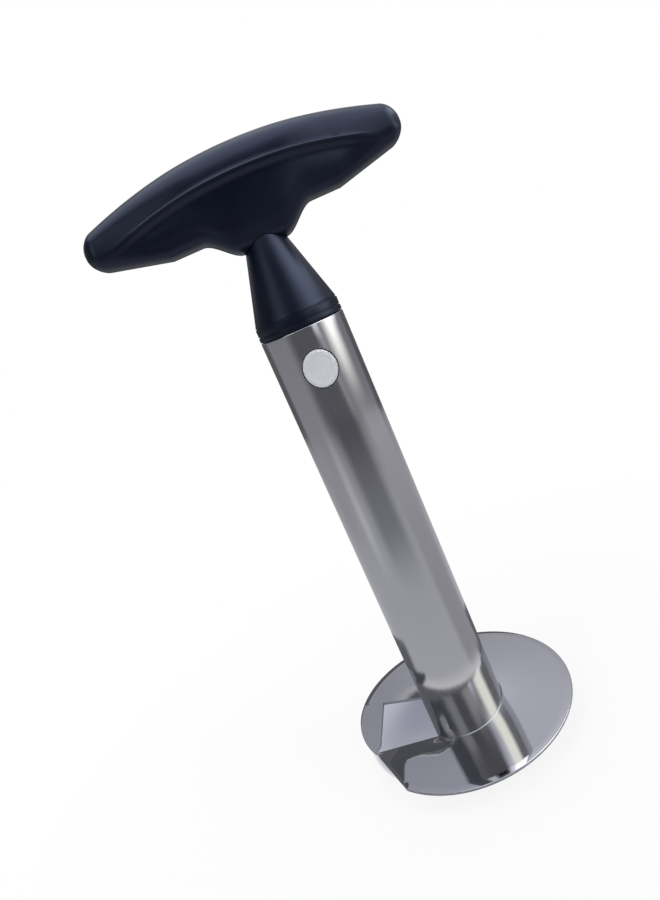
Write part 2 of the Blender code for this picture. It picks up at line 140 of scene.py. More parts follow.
def skin(builder, point_rings, close_loop=False):
    """Adds quads between rings of points, which are closed rings themselves."""
    rings = [[builder.verts.new(point) for point in points] for points in point_rings]
    count = len(rings[0])
    for index in range(len(rings) if close_loop else len(rings) - 1):
        near = rings[index]
        far = rings[(index + 1) % len(rings)]
        for step in range(count):
            after = (step + 1) % count
            builder.faces.new((near[step], near[after], far[after], far[step]))
    if not close_loop:
        builder.faces.new(list(reversed(rings[0])))
        builder.faces.new(rings[-1])


def lofted(name, rings, sharp_angle=35.0, close_loop=False):
    builder = bmesh.new()
    skin(builder, rings, close_loop)
    return add_object(name, builder, sharp_angle)


def turned_rings(profile, steps):
    angles = [math.tau * step / steps for step in range(steps)]
    return [[around(radius, angle, height) for angle in angles] for radius, height in profile]


def softened(profile, radius, steps=4):
    """The profile with its inner corners rounded, by at most a third of the shorter side."""
    result = [profile[0]]
    for before, corner, after in zip(profile, profile[1:], profile[2:]):
        here = Vector(corner)
        back = Vector(before) - here
        ahead = Vector(after) - here
        reach = min(radius, back.length / 3.0, ahead.length / 3.0)
        start = here + back.normalized() * reach
        end = here + ahead.normalized() * reach
        for step in range(steps + 1):
            share = step / steps
            bend = start * (1.0 - share) ** 2 + here * 2.0 * share * (1.0 - share) + end * share ** 2
            result.append((bend.x, bend.y))
    result.append(profile[-1])
    return result


def oval_ring(half_width, half_height, depth, steps, curve_radius=None, across=0.0, height=button_height):
    """An upright oval that faces the front, bent round the tube's axis if it has a curve radius."""
    ring = []
    for step in range(steps):
        angle = math.tau * step / steps
        x = half_width * math.cos(angle)
        back = 0.0
        if curve_radius is not None:
            back = curve_radius - math.sqrt(curve_radius ** 2 - x ** 2)
        ring.append((across + x, depth + back, height + half_height * math.sin(angle)))
    return ring


def disc_ring(radius, depth, across=0.0, height=button_height, steps=32):
    return oval_ring(radius, radius, depth, steps, None, across, height)


def rods(name, places, steps=32):
    """One cutter made of separate rods along Y, each given as (radius, start, end, across, height)."""
    builder = bmesh.new()
    for radius, start, end, across, height in places:
        skin(builder, [disc_ring(radius, depth, across, height, steps) for depth in (start, end)])
    return add_object(name, builder)


def box_tool(name, low, high):
    builder = bmesh.new()
    bmesh.ops.create_cube(builder, size=1.0)
    for vertex in builder.verts:
        for axis in range(3):
            middle = (low[axis] + high[axis]) / 2.0
            vertex.co[axis] = middle + vertex.co[axis] * (high[axis] - low[axis])
    return add_object(name, builder)


def combine(item, operation, other):
    """Applies one boolean and removes the tool."""
    step = item.modifiers.new("cut", "BOOLEAN")
    step.operation = operation
    step.solver = "EXACT"
    step.object = other
    graph = bpy.context.evaluated_depsgraph_get()
    mesh = bpy.data.meshes.new_from_object(item.evaluated_get(graph))
    item.modifiers.clear()
    item.data = mesh
    bpy.data.objects.remove(other, do_unlink=True)


def cut(item, tool):
    combine(item, "DIFFERENCE", tool)


def straighten_normals(item, radius):
    """Gives the corners on the round wall of that radius the wall's own normal."""
    mesh = item.data
    normals = [corner.vector.copy() for corner in mesh.corner_normals]
    for face in mesh.polygons:
        if abs(face.normal.z) > upright_limit:
            continue
        for corner in face.loop_indices:
            point = mesh.vertices[mesh.loops[corner].vertex_index].co
            outward = Vector((point.x, point.y, 0.0))
            on_wall = abs(outward.length - radius) < wall_tolerance
            if on_wall and abs(face.normal.dot(outward)) > facing_limit * outward.length:
                normals[corner] = outward.normalized()
    mesh.normals_split_custom_set(normals)


def finish_piece(item, node_name, material, body="slicer"):
    item.data.materials.clear()
    item.data.materials.append(material)
    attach(item, body)
    if node_name is not None:
        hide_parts(node_name)


# Materials
steel_cloud_scale = 45.0
steel_wave_scale = 70.0
steel_wave_depth = 0.0004
steel_grain_depth = 0.000012
steel_grain_strength = 0.12
scratch_scale = (2600.0, 420.0, 160.0)
scratch_haze = 0.12
plastic_cloud_scale = 60.0
plastic_grain_depth = 0.00003


def node(tree, kind, values=None, **settings):
    made = tree.nodes.new(kind)
    for key, value in settings.items():
        setattr(made, key, value)
    for socket, value in (values or {}).items():
        if isinstance(value, bpy.types.NodeSocket):
            tree.links.new(value, made.inputs[socket])
        else:
            made.inputs[socket].default_value = value
    return made


def new_material(name):
    material = bpy.data.materials.new(name)
    material.use_nodes = True
    tree = material.node_tree
    return material, tree, tree.nodes["Principled BSDF"]


def math_node(tree, operation, first, second=0.0, clamp=False):
    values = {0: first, 1: second}
    return node(tree, "ShaderNodeMath", values, operation=operation, use_clamp=clamp).outputs[0]


def product(tree, first, second):
    return math_node(tree, "MULTIPLY", first, second)


def total(tree, first, second, clamp=False):
    return math_node(tree, "ADD", first, second, clamp)


def noise(tree, vector, scale, detail=2.0, roughness=0.5):
    values = {"Vector": vector, "Scale": scale, "Detail": detail, "Roughness": roughness}
    return node(tree, "ShaderNodeTexNoise", values).outputs["Fac"]


def spread(tree, value, within, onto, **settings):
    """Maps the value from one range onto another."""
    values = dict(zip(("Value", "From Min", "From Max", "To Min", "To Max"), (value, *within, *onto)))
    return node(tree, "ShaderNodeMapRange", values, **settings).outputs["Result"]


def stretched(tree, scale):
    """Object coordinates, scaled apart along the axes."""
    place = node(tree, "ShaderNodeTexCoord").outputs["Object"]
    return node(tree, "ShaderNodeMapping", {"Vector": place, "Scale": scale}).outputs["Vector"]


def polar(tree, turn_scale, radius_scale, height_scale):
    """Angle about Z, distance from Z and height, so that grain can follow a turned surface."""
    place = node(tree, "ShaderNodeTexCoord").outputs["Object"]
    parts = node(tree, "ShaderNodeSeparateXYZ", {0: place}).outputs
    angle = math_node(tree, "ARCTAN2", parts[1], parts[0])
    x_square = product(tree, parts[0], parts[0])
    y_square = product(tree, parts[1], parts[1])
    radius = math_node(tree, "SQRT", total(tree, x_square, y_square))
    values = {
        0: product(tree, angle, turn_scale),
        1: product(tree, radius, radius_scale),
        2: product(tree, parts[2], height_scale),
    }
    return node(tree, "ShaderNodeCombineXYZ", values).outputs[0]


def mix_colours(tree, factor, first, second):
    made = node(tree, "ShaderNodeMix", {0: factor}, data_type="RGBA")
    for socket, colour in ((6, first), (7, second)):
        made.inputs[socket].default_value = (*colour, 1.0)
    return made.outputs[2]


def bump(tree, height, strength, distance, before=None):
    values = {"Height": height, "Strength": strength, "Distance": distance}
    if before is not None:
        values["Normal"] = before
    return node(tree, "ShaderNodeBump", values).outputs["Normal"]


def steel_material(name, dark, light, rough, grain, wave_strength, edge_rough=None):
    """Polished steel with a cloudy tint and haze, fine grain, sparse scratches and slight waves.

    grain gives the coordinates of the grain, and edge_rough is how much rougher upright faces are.
    """
    material, tree, shader = new_material(name)
    place = stretched(tree, (1.0, 1.0, 1.0))
    clouds = noise(tree, place, steel_cloud_scale, 3.0)
    lines = noise(tree, grain(tree), 1.0, 3.0, 0.6)
    scratches = noise(tree, stretched(tree, scratch_scale), 1.0, 2.0)
    marks = spread(tree, scratches, (0.70, 0.76), (0.0, 1.0))
    tree.links.new(mix_colours(tree, clouds, dark, light), shader.inputs["Base Color"])
    haze = spread(tree, clouds, (0.35, 0.70), rough)
    haze = total(tree, haze, spread(tree, lines, (0.3, 0.7), (-0.015, 0.015)))
    haze = total(tree, haze, product(tree, marks, scratch_haze), clamp=True)
    if edge_rough is not None:
        shape = node(tree, "ShaderNodeNewGeometry")
        facing_up = node(tree, "ShaderNodeSeparateXYZ", {"Vector": shape.outputs["Normal"]}).outputs["Z"]
        flatness = product(tree, facing_up, facing_up)
        haze = total(tree, haze, spread(tree, flatness, (0.25, 0.70), (edge_rough, 0.0)))
    tree.links.new(haze, shader.inputs["Roughness"])
    shader.inputs["Metallic"].default_value = 1.0
    waves = bump(tree, noise(tree, place, steel_wave_scale, 1.0), wave_strength, steel_wave_depth)
    fine = bump(tree, lines, steel_grain_strength, steel_grain_depth, waves)
    tree.links.new(fine, shader.inputs["Normal"])
    return material


def plastic_material(name, dark, light, rough, grain_scale, grain_strength, gloss_tint=(1.0, 1.0, 1.0)):
    """Moulded plastic: faint mottling, fine spark-eroded grain and polished-off patches."""
    material, tree, shader = new_material(name)
    place = stretched(tree, (1.0, 1.0, 1.0))
    clouds = noise(tree, place, plastic_cloud_scale, 3.0)
    grain = noise(tree, place, grain_scale, 2.0)
    tree.links.new(mix_colours(tree, clouds, dark, light), shader.inputs["Base Color"])
    haze = spread(tree, clouds, (0.3, 0.7), rough)
    haze = total(tree, haze, spread(tree, grain, (0.3, 0.7), (-0.03, 0.03)))
    tree.links.new(haze, shader.inputs["Roughness"])
    shader.inputs["Specular Tint"].default_value = (*gloss_tint, 1.0)
    tree.links.new(bump(tree, grain, grain_strength, plastic_grain_depth), shader.inputs["Normal"])
    return material


tube_steel = steel_material(
    "tube_steel",
    dark=(0.50, 0.50, 0.525),
    light=(0.56, 0.56, 0.58),
    rough=(0.10, 0.16),
    grain=lambda tree: polar(tree, 160.0, 0.0, 60.0),
    wave_strength=0.05,
)
blade_steel = steel_material(
    "blade_steel",
    dark=(0.60, 0.60, 0.625),
    light=(0.65, 0.65, 0.67),
    rough=(0.025, 0.055),
    grain=lambda tree: polar(tree, 18.0, 5200.0, 0.0),
    wave_strength=0.03,
    edge_rough=0.42,
)
spring_steel = steel_material(
    "spring_steel",
    dark=(0.48, 0.48, 0.50),
    light=(0.56, 0.56, 0.57),
    rough=(0.22, 0.34),
    grain=lambda tree: stretched(tree, (3000.0, 900.0, 3000.0)),
    wave_strength=0.05,
)
screw_steel = steel_material(
    "screw_steel",
    dark=(0.36, 0.36, 0.38),
    light=(0.46, 0.46, 0.47),
    rough=(0.25, 0.38),
    grain=lambda tree: stretched(tree, (4000.0, 900.0, 4000.0)),
    wave_strength=0.05,
)
black_plastic = plastic_material(
    "black_plastic",
    dark=(0.0006, 0.0016, 0.0066),
    light=(0.0014, 0.0030, 0.0090),
    rough=(0.28, 0.37),
    grain_scale=2600.0,
    grain_strength=0.28,
    gloss_tint=(0.62, 0.72, 1.0),
)
cap_plastic = plastic_material(
    "cap_plastic",
    dark=(0.018, 0.018, 0.020),
    light=(0.026, 0.026, 0.029),
    rough=(0.46, 0.58),
    grain_scale=2200.0,
    grain_strength=0.4,
)
grey_plastic = plastic_material(
    "grey_plastic",
    dark=(0.58, 0.61, 0.63),
    light=(0.64, 0.67, 0.68),
    rough=(0.36, 0.48),
    grain_scale=2400.0,
    grain_strength=0.2,
)

# Coring tube
tooth_tip_share = 1.0 / 6.0
tooth_front_share = 1.0 / 6.0
tooth_bevel_height = 0.0006
tooth_bevel_share = 0.55
steps_per_tooth = 24
tube_rows = 36
tube_rim = 0.0003
tube_sharp_angle = 30.0
window_gap = 0.00035
window_flare = 0.0006
window_flare_depth = 0.0005
window_round = 0.00012
window_round_depth = 0.00015
window_end_depth = 0.0055
oval_steps = 96


def tooth_rise(share):
    """Foot of the tube's edge within one tooth: a flat tip, a long slope and a steep front."""
    if share < tooth_tip_share:
        return 0.0
    if share < 1.0 - tooth_front_share:
        return (share - tooth_tip_share) / (1.0 - tooth_tip_share - tooth_front_share)
    return (1.0 - share) / tooth_front_share


def window_cutter():
    """The window's shape, from outside the tube inwards, with its outer edge rounded over."""
    width = head_half_width + window_gap
    height = head_half_height + window_gap
    rings = []
    for flare, depth, follows_wall in (
        (window_flare, -cut_overrun, False),
        (window_flare, -window_flare_depth, True),
        (window_round, 0.0, True),
        (0.0, window_round_depth, True),
        (0.0, window_end_depth, False),
    ):
        curve = tube_radius - depth if follows_wall else None
        rings.append(oval_ring(width + flare, height + flare, depth - tube_radius, oval_steps, curve))
    return lofted("window_cutter", rings)


def make_tube():
    inner_radius = tube_radius - tube_wall
    start = tooth_height + tube_wall
    rim_foot = tube_length - tube_rim
    levels = [start + (rim_foot - start) * row / tube_rows for row in range(1, tube_rows + 1)]
    steps = tooth_count * steps_per_tooth
    columns = []
    for step in range(steps):
        angle = -math.tau * step / steps
        foot = tooth_height * tooth_rise((step % steps_per_tooth) / steps_per_tooth)
        profile = [(tube_radius, foot), (tube_radius, start)]
        profile += [(tube_radius, level) for level in levels]
        for turn in (0.25, 0.5, 0.75, 1.0):
            bend = turn * math.pi / 2.0
            inset = tube_rim * (1.0 - math.cos(bend))
            drop = tube_rim * (1.0 - math.sin(bend))
            profile.append((tube_radius - inset, tube_length - drop))
        profile += [
            (inner_radius + tube_rim, tube_length),
            (inner_radius, rim_foot),
            (inner_radius, foot + tooth_bevel_height),
            (inner_radius + tube_wall * tooth_bevel_share, foot),
        ]
        columns.append([around(radius, angle, height) for radius, height in profile])
    tube = lofted("slicer_tube", columns, tube_sharp_angle, close_loop=True)
    cut(tube, window_cutter())
    shade(tube, tube_sharp_angle)
    straighten_normals(tube, tube_radius)
    finish_piece(tube, "shaft_tube", tube_steel)


# Spiral blade
across_steps = 10
bevel_steps = 6
turn_steps = 280
strip_steps = 40
blade_sharp_angle = 20.0


def blade_height(behind, radius):
    """The sheet's top: a steady rise, with the leading end bent down over the nose's length."""
    share = behind * radius / blade_nose_length
    bend = 1.0 - share
    if share > 1.0 - blade_nose_soft_share:
        bend = max(1.0 + blade_nose_soft_share - share, 0.0) ** 2 / (4.0 * blade_nose_soft_share)
    return blade_low_height + blade_pitch * behind / math.tau - blade_nose_drop * bend


def blade_outer_radius(behind):
    """The rim's distance from the axis, which follows a straight line across the ground corner."""
    if behind >= blade_corner_sweep:
        return blade_radius
    tip = Vector((blade_radius - blade_corner_drop, 0.0))
    shoulder = Vector((math.cos(blade_corner_sweep), math.sin(blade_corner_sweep))) * blade_radius
    run = shoulder - tip
    normal = Vector((run.y, -run.x)).normalized()
    return normal.dot(tip) / (normal.x * math.cos(behind) + normal.y * math.sin(behind))


def flat_point(radius, angle):
    return Vector((radius * math.cos(angle), radius * math.sin(angle)))


def slot_skew(behind):
    """How far the sheet's inner edge is turned ahead of its rim, near either end of the turn."""
    low_skew = slot_low_skew * (1.0 - smooth_step(behind / slot_skew_sweep))
    return low_skew + slot_high_skew * smooth_step((behind - blade_sweep + slot_skew_sweep) / slot_skew_sweep)


def blade_section(inner, outer, inner_foot, foot, thickness, ground):
    """Points across the sheet, with a rounded rim that is sharpened where ground goes from 0 to 1."""
    along = (outer - inner).normalized()
    drop = min(blade_rim_round, thickness / 3.0)
    top_drop = drop + (thickness - blade_edge_thickness - drop) * ground
    top_inset = blade_rim_round + (blade_corner_bevel - blade_rim_round) * ground
    low_rim = outer - along * blade_rim_round
    top_rim = outer - along * top_inset
    section = []
    for step in range(across_steps + 1):
        level = inner_foot + (foot - inner_foot) * step / across_steps
        section.append((*inner.lerp(low_rim, step / across_steps), level))
    for turn in (30.0, 60.0, 90.0):
        bend = math.radians(turn)
        point = low_rim + along * blade_rim_round * math.sin(bend)
        section.append((*point, foot + drop * (1.0 - ground) * (1.0 - math.cos(bend))))
    for turn in (90.0, 60.0, 30.0, 0.0):
        bend = math.radians(turn)
        round_point = top_rim + along * top_inset * math.sin(bend)
        round_level = foot + thickness - top_drop * (1.0 - math.cos(bend))
        straight = top_rim + along * top_inset * turn / 90.0
        level = foot + thickness - top_drop * turn / 90.0
        section.append((*round_point.lerp(straight, ground), round_level + (level - round_level) * ground))
    for step in reversed(range(across_steps)):
        level = inner_foot + (foot - inner_foot) * step / across_steps + thickness
        section.append((*inner.lerp(top_rim, step / across_steps), level))
    return section


def blade_turn_section(behind):
    angle = blade_low_angle + behind
    share = min(behind * blade_radius / blade_bevel_width, 1.0)
    thickness = blade_edge_thickness + (blade_thickness - blade_edge_thickness) * share
    ground = smooth_step((blade_corner_sweep - behind) / blade_corner_fade) * share
    inner = flat_point(tube_radius + fit_gap, angle + slot_skew(behind))
    outer = flat_point(blade_outer_radius(behind), angle)
    inner_foot = blade_height(behind, tube_radius) - thickness
    outer_foot = blade_height(behind, blade_radius) - thickness
    return blade_section(inner, outer, inner_foot, outer_foot, thickness, ground)


def blade_strip_section(share):
    behind = blade_sweep + strip_foot_step + (strip_sweep - strip_foot_step) * share
    tip_angle = blade_low_angle + blade_sweep + strip_sweep - strip_tip_skew
    root = flat_point(blade_radius - strip_root_width, blade_low_angle + blade_sweep)
    tip = flat_point(blade_radius - strip_tip_width, tip_angle)
    outer = flat_point(blade_radius, blade_low_angle + behind)
    foot = blade_height(behind, blade_radius) - blade_thickness
    return blade_section(root.lerp(tip, share), outer, foot, foot, blade_thickness, 0.0)


def make_blade():
    edge_sweep = blade_bevel_width / blade_radius
    rest = blade_sweep - edge_sweep
    turned = [edge_sweep * step / bevel_steps for step in range(bevel_steps + 1)]
    turned += [edge_sweep + rest * step / turn_steps for step in range(1, turn_steps + 1)]
    rings = [blade_turn_section(behind) for behind in turned]
    rings += [blade_strip_section(step / strip_steps) for step in range(strip_steps + 1)]
    blade = lofted("slicer_blade", rings, blade_sharp_angle)
    finish_piece(blade, "spiral_blade", blade_steel)


# Weld seam
seam_steps = 360
seam_start = 0.07
seam_trim = 0.08
seam_ripple = 0.00004
seam_ripple_rate = 1.9
seam_sharp_angle = 60.0
# Each point's distance off the wall, height off the sheet's face and share of the ripple
seam_section = (
    (0.00002, -0.0002, 0.0),
    (0.00002, 0.00028, 1.0),
    (0.00014, 0.00014, 1.0),
    (0.00034, 0.00003, 0.3),
    (0.00042, -0.00005, 0.0),
)


def seam_ring(behind, level, side, ripple):
    angle = blade_low_angle + behind + slot_skew(behind)
    return [
        around(tube_radius + out, angle, level + side * (rise + ripple * share))
        for out, rise, share in seam_section
    ]


def make_seam():
    """The thin weld line that closes the gap between the blade's foot and the tube, above and below."""
    rings_above = []
    rings_below = []
    for step in range(seam_steps + 1):
        behind = seam_start + (blade_sweep - seam_trim) * step / seam_steps
        top = blade_height(behind, tube_radius)
        ripple = seam_ripple * math.sin(step * seam_ripple_rate)
        rings_above.append(seam_ring(behind, top, 1.0, ripple))
        rings_below.append(seam_ring(behind, top - blade_thickness, -1.0, ripple))
    for name, rings in (("blade_seam_above", rings_above), ("blade_seam_below", rings_below)):
        finish_piece(lofted(name, rings, seam_sharp_angle), None, screw_steel)


# Neck
base_ring_height = 0.0016
neck_groove = 0.0004
upper_ring_inset = 0.00012
upper_ring_height = 0.0025
cone_foot_inset = 0.0003
cone_shoulder_inset = 0.0007
cone_shoulder_height = 0.0012
cone_top_radius = 0.0065
cone_top = 0.0320
tenon_radius = 0.0060
tenon_top = 0.0345
neck_edge_round = 0.00035
hollow_top_radius = 0.0052
hollow_top = 0.0240
seat_pin_start = 0.0014
seat_start = 0.0032
seat_radius = 0.0036
seat_sink = 0.00125
tongue_half_width = 0.0080
tongue_low = 0.0332
tongue_high = 0.0555
tongue_hole_reach = 0.0070
neck_sharp_angle = 40.0
neck_steps = 144
neck_cut_steps = 72
hole_radius = screw_radius + fit_gap


def cone_points():
    base = tube_length + fit_gap + base_ring_height + upper_ring_height + 2.0 * neck_groove
    return [
        (tube_radius - cone_foot_inset, base),
        (tube_radius - cone_shoulder_inset, base + cone_shoulder_height),
        (cone_top_radius, tube_length + cone_top),
    ]


def neck_outline():
    foot = tube_length - spigot_length
    start = tube_length + fit_gap
    ring_top = start + base_ring_height
    upper_radius = tube_radius - upper_ring_inset
    upper_foot = ring_top + neck_groove
    upper_top = upper_foot + upper_ring_height
    return [
        (0.0, foot),
        (spigot_radius, foot),
        (spigot_radius, start),
        (tube_radius, start),
        (tube_radius, ring_top),
        (tube_radius - neck_groove, ring_top),
        (tube_radius - neck_groove, upper_foot),
        (upper_radius, upper_foot),
        (upper_radius, upper_top),
        (upper_radius - neck_groove, upper_top),
        (upper_radius - neck_groove, upper_top + neck_groove),
        *cone_points(),
        (tenon_radius, tube_length + cone_top),
        (tenon_radius, tube_length + tenon_top),
        (0.0, tube_length + tenon_top),
    ]


def make_neck():
    profile = softened(neck_outline(), neck_edge_round)[1:-1]
    neck = lofted("slicer_neck", turned_rings(profile, neck_steps), neck_sharp_angle)
    hollow = [
        (bore_radius, tube_length - spigot_length - cut_overrun),
        (bore_radius, tube_length),
        (hollow_top_radius, tube_length + hollow_top),
    ]
    cut(neck, lofted("hollow_cutter", turned_rings(hollow, neck_cut_steps)))
    window = [
        oval_ring(button_half_width + fit_gap, button_half_height + fit_gap, depth, neck_cut_steps)
        for depth in (-spigot_radius - cut_overrun, -bore_radius + cut_overrun)
    ]
    cut(neck, lofted("neck_window_cutter", window))
    seat = [
        disc_ring(peg_radius, seat_pin_start),
        disc_ring(peg_radius, seat_start),
        disc_ring(seat_radius, seat_start),
        disc_ring(seat_radius, bore_radius + seat_sink),
    ]
    combine(neck, "UNION", lofted("seat_boss", seat))
    low = (-tongue_half_width, -tongue_half_thickness, tube_length + tongue_low)
    high = (tongue_half_width, tongue_half_thickness, tube_length + tongue_high)
    combine(neck, "UNION", box_tool("tongue", low, high))
    holes = [
        (hole_radius, -tongue_hole_reach, tongue_hole_reach, across, tube_length + level)
        for _, across, level in screws
        if across == 0.0
    ]
    cut(neck, rods("tongue_holes", holes))
    shade(neck, neck_sharp_angle)
    finish_piece(neck, "neck_spigot", black_plastic)


# Cap
cap_plate = 0.0016
cap_hole = 0.0010
cap_hole_width = 0.0006
cap_hole_depth = 0.0003
cap_skirt_height = 0.0040
cap_skirt_wall = 0.0015
cap_edge_round = 0.0005
cap_steps = 96


def make_cap():
    top = tube_length - spigot_length - fit_gap
    foot = top - cap_plate
    skirt = bore_radius - fit_gap
    outline = [
        (cap_hole, foot + cap_hole_depth),
        (cap_hole + cap_hole_width, foot),
        (spigot_radius, foot),
        (spigot_radius, top),
        (skirt, top),
        (skirt, top + cap_skirt_height),
        (skirt - cap_skirt_wall, top + cap_skirt_height),
        (skirt - cap_skirt_wall, top),
        (cap_hole, top),
    ]
    cap = lofted("slicer_cap", turned_rings(softened(outline, cap_edge_round), cap_steps))
    finish_piece(cap, "plug_cap", cap_plastic)


# Release button
flange_edge = 0.0016
flange_thickness = 0.0015
peg_length = 0.0015
head_round = 0.0009
head_round_steps = 8
# Each ring's share of the head's size, and its depth
dish = ((0.93, 0.00002), (0.87, 0.00014), (0.81, 0.00022), (0.6, 0.00026), (0.3, 0.00028), (0.1, 0.00028))


def make_button():
    flange_width = button_half_width + flange_edge
    flange_height = button_half_height + flange_edge
    flange_front = fit_gap - math.sqrt(bore_radius ** 2 - flange_width ** 2)
    flange_back = flange_front + flange_thickness
    rings = [
        disc_ring(peg_radius, flange_back + peg_length, steps=oval_steps),
        disc_ring(peg_radius, flange_back, steps=oval_steps),
        oval_ring(flange_width, flange_height, flange_back, oval_steps),
        oval_ring(flange_width, flange_height, flange_front, oval_steps),
        oval_ring(head_half_width, head_half_height, flange_front, oval_steps),
    ]
    for step in range(head_round_steps + 1):
        turn = math.pi / 2.0 * step / head_round_steps
        inset = head_round * (1.0 - math.cos(turn))
        depth = head_round * (1.0 - math.sin(turn)) - button_face
        width = head_half_width - inset
        height = head_half_height - inset
        rings.append(oval_ring(width, height, depth, oval_steps, button_face))
    for share, depth in dish:
        width = (head_half_width - head_round) * share
        height = (head_half_height - head_round) * share
        rings.append(oval_ring(width, height, depth - button_face, oval_steps, button_face))
    button = lofted("slicer_button", rings)
    finish_piece(button, "release_button", grey_plastic, "button")


# Spring
spring_coil = 0.0032
spring_wire = 0.0004
spring_turns = 6
coil_steps = 32
wire_steps = 12
spring_sharp_angle = 60.0


def make_spring():
    """The coil behind the button; the real one shortens as the button goes in."""
    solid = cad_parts["button_spring"]
    corners = [solid.matrix_world @ Vector(corner) for corner in solid.bound_box]
    near = min(corner.y for corner in corners)
    far = max(corner.y for corner in corners)
    rise = far - near - 2.0 * spring_wire
    steps = spring_turns * coil_steps
    rings = []
    for step in range(steps + 1):
        angle = math.tau * step / coil_steps
        level = near + spring_wire + rise * step / steps
        ring = []
        for side in range(wire_steps):
            turn = math.tau * side / wire_steps
            reach = spring_coil + spring_wire * math.cos(turn)
            depth = level + spring_wire * math.sin(turn)
            ring.append((reach * math.cos(angle), depth, button_height + reach * math.sin(angle)))
        rings.append(ring)
    spring = lofted("slicer_spring", rings, spring_sharp_angle)
    finish_piece(spring, "button_spring", spring_steel)
    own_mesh(spring)


# Grip
grip_crown_drop = 0.0101
grip_floor = 0.0359
grip_half_thickness = 0.0110
grip_end_round = 0.0050
grip_end_share = 0.985
grip_bunching = 0.6
grip_roundness = 2.5
grip_sharp_angle = 32.0
wing_start = 0.0300
wing_rise = 0.0060
wing_taper = 0.0030
wing_taper_start = 0.0100
wing_taper_length = 0.0400
lobe_drop = 0.0072
lobe_half_width = 0.0075
lobe_fade = 0.0120
crease_depth = 0.0104
crease_width = 0.0028
crease_share = 0.64
crease_end_share = 0.82
bead_height = 0.00030
bead_width = 0.0008
bead_reach = 0.0340
bead_fade = 0.0110
scoop_share = 0.16
scoop_foot = 0.0050
scoop_reach = 0.0330
scoop_fade = 0.0170
least_out = 0.0002
front_boss_radius = screw_radius + 0.0022
rear_boss_radius = head_radius + 0.0015
boss_sink = 0.0009
boss_steps = 16
front_hole_depth = 0.0053
rear_hole_depth = 0.0110
pocket_depth = 0.0150
cut_reach = 0.06
cut_top = 0.07
mouth_steps = 96
pocket_steps = 48
lip_inset = 0.00016
lip_inner_inset = 0.0017
lip_root = 0.0010
lip_reach = 0.00014
grip_detail = (150, (14, 6, 20))
hollow_detail = (24, (3, 1, 5))
lip_detail = (100, (12, 3, 14))
lip_inner_detail = (60, (8, 2, 10))


def grip_limits(across, inset):
    """Middle, half height and half thickness of the section there, drawn in by the inset."""
    reach = abs(across)
    top = grip_top - grip_crown_drop * (reach / grip_half_length) ** 2
    beyond = max(reach - wing_start, 0.0) / (grip_half_length - wing_start)
    lobe = 1.0 - smooth_step((reach - lobe_half_width) / lobe_fade)
    foot = grip_floor + wing_rise * beyond - lobe_drop * lobe
    thinner = smooth_step((reach - wing_taper_start) / wing_taper_length)
    half_thickness = grip_half_thickness - wing_taper * thinner
    top -= inset
    foot += inset
    half_thickness -= inset
    past = max(reach - (grip_half_length - inset - grip_end_round), 0.0) / grip_end_round
    closing = math.sqrt(max(1.0 - past ** 2, 0.0))
    return (top + foot) / 2.0, (top - foot) / 2.0 * closing, half_thickness * closing


def grip_crease(half_height):
    return min(crease_depth, 2.0 * half_height * crease_share)


def grip_side(across, level, inset):
    """How far the grip's face stands out from the parting plane there."""
    middle, half_height, half_thickness = grip_limits(across, inset)
    share = min(abs(level - middle) / half_height, 1.0)
    body = half_thickness * (1.0 - share ** grip_roundness) ** (1.0 / grip_roundness)
    below = middle + half_height - grip_crease(half_height) - level
    scoop = smooth_step(below / crease_width) * smooth_step((level - middle + half_height) / scoop_foot)
    scoop *= 1.0 - smooth_step((abs(across) - scoop_reach) / scoop_fade)
    bead = bead_height * max(1.0 - (2.0 * below / bead_width + 1.0) ** 2, 0.0) ** 2
    bead *= 1.0 - smooth_step((abs(across) - bead_reach) / bead_fade)
    return body * (1.0 - scoop_share * scoop) + (bead if inset == 0.0 else 0.0)


def grip_front_ring(across, inset, steps):
    """The front's section from the crown down to the keel, with steps for its roll, edges and face."""
    roll_steps, edge_steps, face_steps = steps
    middle, half_height, _ = grip_limits(across, inset)
    crease = grip_crease(half_height)
    crease_end = min(crease + crease_width, 2.0 * half_height * crease_end_share)
    bead_start = math.acos(1.0 - (crease - min(bead_width, crease / 4.0)) / half_height)
    upper = math.acos(1.0 - crease / half_height)
    lower = math.acos(1.0 - crease_end / half_height)
    turns = [bead_start * step / roll_steps for step in range(roll_steps)]
    turns += [bead_start + (upper - bead_start) * step / edge_steps for step in range(edge_steps)]
    turns += [upper + (lower - upper) * step / edge_steps for step in range(edge_steps)]
    turns += [lower + (math.pi - lower) * step / face_steps for step in range(face_steps + 1)]
    ring = []
    for turned in turns:
        level = middle + half_height * math.cos(turned)
        out = max(grip_side(across, level, inset), 0.0)
        if out < least_out:
            out += fit_gap / 2.0
        ring.append((across, -out, tube_length + level))
    return ring


def grip_stations(inset, count):
    """Places along the grip, closer together towards its ends."""
    reach = (grip_half_length - inset - grip_end_round) + grip_end_round * grip_end_share
    places = []
    for station in range(count + 1):
        share = station / count
        bunched = grip_bunching * math.sin(math.pi * (share - 0.5))
        places.append(reach * (bunched + (1.0 - grip_bunching) * (2.0 * share - 1.0)))
    return places


def whole_grip(name, inset, detail):
    """The grip drawn in by the inset, with detail as its stations and the steps of its sections."""
    stations, steps = detail
    rings = []
    for across in grip_stations(inset, stations):
        front = grip_front_ring(across, inset, steps)
        crown = (across, 0.0, front[0][2])
        keel = (across, 0.0, front[-1][2])
        inner = front[1:-1]
        rings.append([crown, *inner, keel, *[(x, -y, z) for x, y, z in reversed(inner)]])
    return lofted(name, rings)


